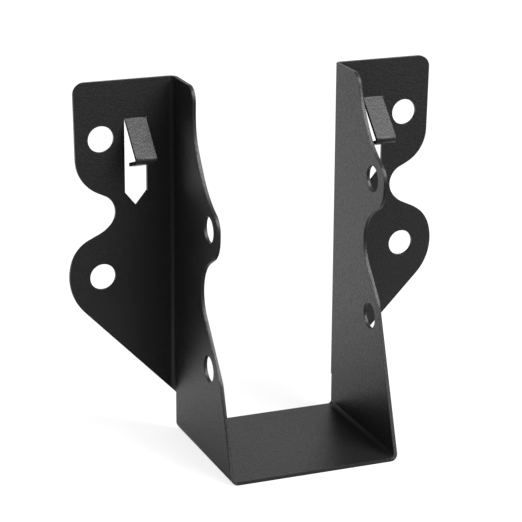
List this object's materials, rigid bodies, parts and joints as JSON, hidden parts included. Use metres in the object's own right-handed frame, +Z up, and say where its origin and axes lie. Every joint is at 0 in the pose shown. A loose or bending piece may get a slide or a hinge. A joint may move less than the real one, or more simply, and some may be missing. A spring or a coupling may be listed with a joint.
{
  "type": "joist hanger",
  "caption": "Face-mount joist hanger folded from coated steel sheet, with scalloped walls, nail holes and pointed prongs lanced from slots in its flanges.",
  "frame": {"origin": "middle of the footprint, on the underside of the seat", "axes": "+X across the joist, from wall to wall; +Y towards the header, out of the flange backs; +Z up"},
  "size_m": [0.092, 0.0384, 0.0861],
  "materials": {
    "coated_steel": "near-black satin powder coat over galvanised steel sheet"
  },
  "bodies": {
    "root": {"hanger": "coated_steel"}
  },
  "joints": []
}
